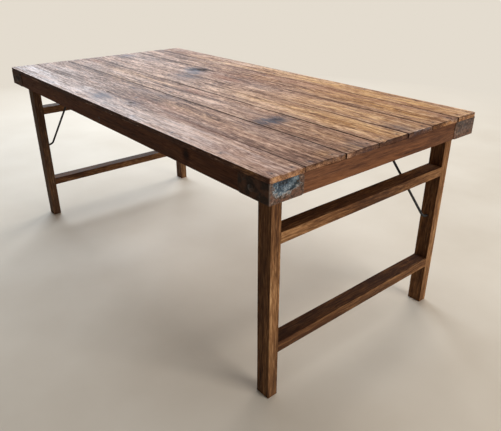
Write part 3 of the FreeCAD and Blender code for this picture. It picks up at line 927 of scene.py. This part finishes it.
def patina_iron(name):
    """Strap iron: brown scale, rust below, a blue patch with a ragged pale border, and a dark
    oily brown painted as shade over the side arm.
    """
    tree = Tree(bpy.data.materials.new(name))
    sheet = tree.attribute("sheet")
    patch, below, bare = tree.parts(tree.attribute("marks"))
    patina, shaded_side_arm, over_arm = tree.parts(tree.attribute("arm"))

    def pattern(along, up, detail, roughness=0.5, distortion=0):
        return tree.noise(sheet, (along, up, 1), detail, roughness, distortion)

    blotches = pattern(70, 90, 4, 0.7)
    waves = pattern(70, 110, 3, 0.55, 0.8)
    scratches = pattern(190, 110, 3, 0.7, 1.2)
    clouds = pattern(34, 44, 2)
    base = tree.ramp(blotches, (
        (0.34, rgb(30, 21, 17)), (0.46, rgb(66, 48, 38)), (0.57, rgb(96, 75, 63)),
        (0.68, rgb(150, 130, 117))))
    rust = tree.times(tree.stretch(waves, 0.44, 0.58), below)
    base = tree.over(base, rgb(110, 76, 60), rust)

    blue_tone = tree.math("MULTIPLY_ADD", tree.math("SUBTRACT", clouds, 0.5), 1.1, scratches)
    blue = tree.ramp(blue_tone, (
        (0.3, rgb(18, 24, 34)), (0.45, rgb(44, 58, 72)), (0.58, rgb(76, 95, 112)),
        (0.74, rgb(146, 160, 170))))
    blue = tree.over(blue, rgb(34, 54, 60), tree.stretch(over_arm, 0.45, 0.75), 0.4)
    ragged = tree.math("MULTIPLY_ADD", tree.math("SUBTRACT", waves, 0.5), 1.1, patch)
    share = tree.times(tree.stretch(ragged, 1.04, 0.92), patina)
    base = tree.over(base, blue, share)

    from_border = tree.math("ABSOLUTE", tree.math("SUBTRACT", ragged, 0.98))
    border = tree.times(tree.stretch(from_border, 0.13, 0.0), tree.stretch(scratches, 0.36, 0.5))
    border = tree.times(border, tree.stretch(below, 0.15, 0.55))
    base = tree.over(base, rgb(174, 178, 180), border, tree.times(patina, 0.75))
    base = tree.over(base, rgb(162, 154, 148), tree.stretch(scratches, 0.6, 0.7), 0.4)
    pits = tree.stretch(pattern(150, 150, 2), 0.42, 0.34)
    base = tree.over(base, rgb(24, 19, 17), pits, 0.7)
    # A painted shade on the side arm: dark oily brown, and rougher
    oily_shade = tree.ramp(clouds, ((0.42, rgb(36, 24, 15)), (0.6, rgb(84, 52, 33))))
    base = tree.over(base, oily_shade, shaded_side_arm, 0.82)
    base = tree.over(base, rgb(150, 140, 134), bare, 0.35)
    roughness = tree.math("MULTIPLY_ADD", blotches, 0.35, 0.42)
    roughness = tree.math("MULTIPLY_ADD", shaded_side_arm, 0.22, roughness)
    tree.surface(base, roughness, metallic=0.12, gloss=0.28)
    tree.bump(tree.math("ADD", blotches, tree.times(scratches, 0.6)), 0.6 * mm)
    return tree.owner


def black_iron(name, dark, light, rust, metallic, rough):
    """Blackened iron with worn and rusty spots."""
    tree = Tree(bpy.data.materials.new(name))
    place = tree.node("TexCoord", output=3)
    spots = tree.noise(place, (220, 220, 220), detail=5, roughness=0.65)
    patches = tree.noise(place, (35, 35, 35), detail=3)
    base = tree.ramp(spots, ((0.35, dark), (0.65, light)))
    base = tree.over(base, rust, tree.stretch(patches, 0.52, 0.66), 0.7)
    tree.surface(base, tree.math("MULTIPLY_ADD", spots, 0.3, rough), metallic)
    tree.bump(spots, 0.25 * mm)
    return tree.owner


def peg_wood(name):
    """End grain of the pegs."""
    tree = Tree(bpy.data.materials.new(name))
    place = tree.node("TexCoord", output=3)
    rings = tree.noise(place, (60, 500, 500), detail=3, roughness=0.6)
    base = tree.ramp(rings, ((0.35, rgb(70, 46, 30)), (0.65, rgb(136, 98, 64))))
    tree.surface(base, tree.math("MULTIPLY_ADD", rings, 0.3, 0.5))
    tree.bump(rings, 0.3 * mm)
    return tree.owner


def give(material, *nodes):
    """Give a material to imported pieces."""
    for name in nodes:
        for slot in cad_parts[name].material_slots:
            slot.material = material


# The table

apron_rough = (0.6, 0.9)
apron_length = 1.5
apron_gold = ((0.25, rgb(80, 44, 24)), (0.75, rgb(134, 88, 56)))
apron_weights = (0.4, 0.1, 0.4, 0.45, 0.45, 0.3, 0.4, 0.3)

# The apron's rails across the table, with tones from front to back
cross_rails = (
    ("end_rail_left", (0.01, -0.02, -0.14, -0.09)),
    ("end_rail_right", (0.01, -0.02, -0.14, -0.09)),
    ("middle_rail", (0, 0)),
)

# The pieces of a leg frame, with tones from bottom to top or from front to back
# and how much more stained they are at the left end
frame_pieces = (
    (leg, "front", (-0.18, -0.07, -0.01, -0.09, -0.06), 0.85),
    (leg, "back", (0.02, -0.03, -0.04, 0.01, -0.02), 0.45),
    (frame_rail, "upper", (0.04, -0.16, -0.16, -0.05), 0.2),
    (frame_rail, "lower", (-0.27, -0.18, -0.13, -0.06), 0.0),
)

# Each strap's corner, and its blue patina on the end arm and on the side arm
straps = (
    ("front", "right", (1.0, 0.2)),
    ("back", "right", (0.12, 0.2)),
    ("front", "left", (0.6, 0.0)),
    ("back", "left", (0.8, 0.3)),
)


def make_top():
    top_shades = (
        (0.2, rgb(70, 44, 33)), (0.38, rgb(126, 91, 72)), (0.54, rgb(171, 132, 109)),
        (0.82, rgb(236, 199, 174)))
    gold_shades = (
        (0.2, rgb(96, 58, 31)), (0.5, rgb(187, 136, 81)), (0.82, rgb(245, 204, 143)))
    top = wood(
        "worn_top_timber", top_shades, gold_shades, rgb(66, 68, 82), rgb(220, 188, 160),
        (0.4, 0.8, 0.5, 0.7, 0.95, 0.3, 0.4, 0.55))
    for number in range(1, plank_count + 1):
        top_plank(number, top)


def make_apron():
    """The rails under the top and the battens. The side rails are the darker."""
    apron_shades = (
        (0.22, rgb(60, 33, 20)), (0.5, rgb(105, 67, 44)), (0.78, rgb(146, 100, 70)))
    apron = wood(
        "worn_apron_timber", apron_shades, apron_gold, rgb(66, 48, 38), rgb(152, 108, 78),
        apron_weights, apron_length, apron_rough, gloss=0.2)
    dark_shades = (
        (0.22, rgb(56, 29, 17)), (0.5, rgb(97, 59, 38)), (0.78, rgb(126, 82, 56)))
    dark = wood(
        "dark_apron_timber", dark_shades, apron_gold, rgb(46, 31, 22), rgb(122, 82, 56),
        apron_weights, apron_length, apron_rough, gloss=0.12)
    for seed, side in enumerate(("front", "back"), 21):
        board(
            "side_rail_" + side, 0, seed, apron_wear, dark, "table_top",
            tones=(0, 0, 0.03))
    for seed, (node, tones) in enumerate(cross_rails, 31):
        board(
            node, 1, seed, apron_wear, apron, "table_top", tones,
            square_ends=True)
    for seed, side in enumerate(("left", "right"), 36):
        board("stay_batten_" + side, 1, seed, apron_wear, apron, "table_top")


def make_leg_frames():
    shades = (
        (0.2, rgb(50, 26, 12)), (0.42, rgb(96, 61, 34)), (0.58, rgb(130, 90, 56)),
        (0.82, rgb(184, 140, 96)))
    gold = (
        (0.22, rgb(82, 50, 27)), (0.5, rgb(142, 103, 67)), (0.8, rgb(208, 167, 122)))
    legs = wood(
        "worn_frame_timber", shades, gold, rgb(64, 48, 38), rgb(186, 148, 108),
        (0.4, 0.1, 0.35, 0.55, 0.6, 0.25, 0.6, 0.4), 1.6, (0.6, 0.9), 0.16)
    seed = 51
    for side in ("left", "right"):
        for make, place, tones, stained in frame_pieces:
            make(place, side, seed, legs, tones, stained if side == "left" else 0)
            seed += 1


def make_iron():
    """The straps, and the looks of the stays, screw eyes, pegs and fasteners."""
    iron = patina_iron("old_strap_iron")
    for seed, (depth, side, patina) in enumerate(straps, 81):
        strap(depth, side, seed, iron, patina)

    stays = {
        "right": black_iron(
            "black_stay_iron", rgb(10, 11, 13), rgb(32, 33, 37), rgb(40, 28, 22), 0.15, 0.46),
        # The left stay and screw eye take a darker copy of the stay iron, a painted shade, with a
        # rougher, duller finish
        "left": black_iron(
            "shaded_stay_iron", rgb(5, 4, 4), rgb(15, 13, 12), rgb(20, 13, 10), 0, 0.62)}
    dark_nails = black_iron(
        "dark_nail_iron", rgb(34, 25, 20), rgb(66, 50, 40), rgb(60, 40, 28), 0.2, 0.5)
    old = black_iron(
        "old_fastener_iron", rgb(34, 30, 30), rgb(84, 74, 68), rgb(92, 58, 40), 0.55, 0.4)
    for side in ("left", "right"):
        give(stays[side], "stay_rod_" + side, "screw_eye_" + side)
        give(peg_wood("peg_end_grain_" + side), "rail_pegs_" + side)
        give(old, "pivot_bolt_front_" + side, "pivot_bolt_back_" + side)
    give(
        old, "spacer_washers", "nut_washers", "pivot_nuts", "plank_nails", "rail_nails",
        "batten_screws")
    give(dark_nails, "strap_nails")


# Floor, light and camera

def backdrop_share(tree):
    """How much of the backdrop's own colour a ray sees: all of it, but less in gloss."""
    ray = tree.nodes.new("ShaderNodeLightPath").outputs
    gloss = tree.times(ray["Is Glossy Ray"], backdrop_in_gloss)
    seen = tree.math("MAXIMUM", ray["Is Camera Ray"], ray["Is Transmission Ray"])
    return tree.math("MAXIMUM", seen, gloss)


def make_floor():
    """A pale round floor that fades into the backdrop."""
    tree = Tree(bpy.data.materials.new("pale_floor"))
    place = tree.node("TexCoord", output=3)
    mottle = tree.noise(place, (1.6, 1.6, 1.6), detail=4)
    base = tree.ramp(mottle, ((0.3, rgb(208, 199, 186)), (0.7, rgb(222, 215, 204))))
    tree.surface(base, roughness=0.75)
    glow = tree.node("Emission", (backdrop_colour,))
    far = tree.stretch(tree.vector("LENGTH", place), *floor_fade)
    share = tree.times(far, backdrop_share(tree))
    mixed = tree.node("MixShader", (share, tree.shader.outputs[0], glow))
    tree.feed(tree.nodes["Material Output"].inputs[0], mixed)
    bpy.ops.mesh.primitive_circle_add(vertices=96, radius=floor_radius, fill_type="NGON")
    floor = bpy.context.object
    floor.name = "floor"
    floor.data.materials.append(tree.owner)


def make_world():
    """Plain light from all round, and the backdrop."""
    world = bpy.data.worlds.new("studio")
    scene.world = world
    tree = Tree(world, "Background")
    tree.shader.inputs[0].default_value = backdrop_colour
    strength = tree.math("MULTIPLY_ADD", backdrop_share(tree), 1 - sky_strength, sky_strength)
    tree.feed(tree.shader.inputs[1], strength)


def area_light(name, place, size, power, shade, in_gloss=True):
    """A soft light at a place, turned to the table and hidden from the camera."""
    data = bpy.data.lights.new(name, "AREA")
    data.shape = "RECTANGLE"
    data.size, data.size_y = size
    data.energy = power
    data.color = shade
    lamp = bpy.data.objects.new(name, data)
    lamp.location = place
    lamp.rotation_euler = (light_target - Vector(place)).to_track_quat("-Z", "Y").to_euler()
    lamp.visible_camera = False
    lamp.visible_glossy = in_gloss
    scene.collection.objects.link(lamp)


def make_lights():
    area_light("window_left", (-6, 1.8, 3.2), (4.5, 2.6), 405, (0.85, 0.93, 1))
    area_light("window_back", (-2.2, 5.5, 4.2), (4, 2.4), 240, (1, 0.95, 0.88), in_gloss=False)
    area_light("side_right", (6, 1.2, 2.2), (3, 2.4), 230, (1, 0.93, 0.84))
    area_light("overhead", (0, 0.5, 4.5), (4, 3), 52, (1, 0.97, 0.93))


def make_camera():
    data = bpy.data.cameras.new("camera")
    data.sensor_width = sensor_width_mm
    data.lens = sensor_width_mm * focal_length_px / image_width_px
    camera = bpy.data.objects.new("camera", data)
    camera.location = camera_place
    camera.rotation_euler = (math.pi / 2 + camera_pitch, 0, camera_yaw)
    scene.collection.objects.link(camera)
    scene.camera = camera


scene.view_settings.view_transform = "Standard"
make_top()
make_apron()
make_leg_frames()
make_iron()
make_floor()
make_world()
make_lights()
make_camera()
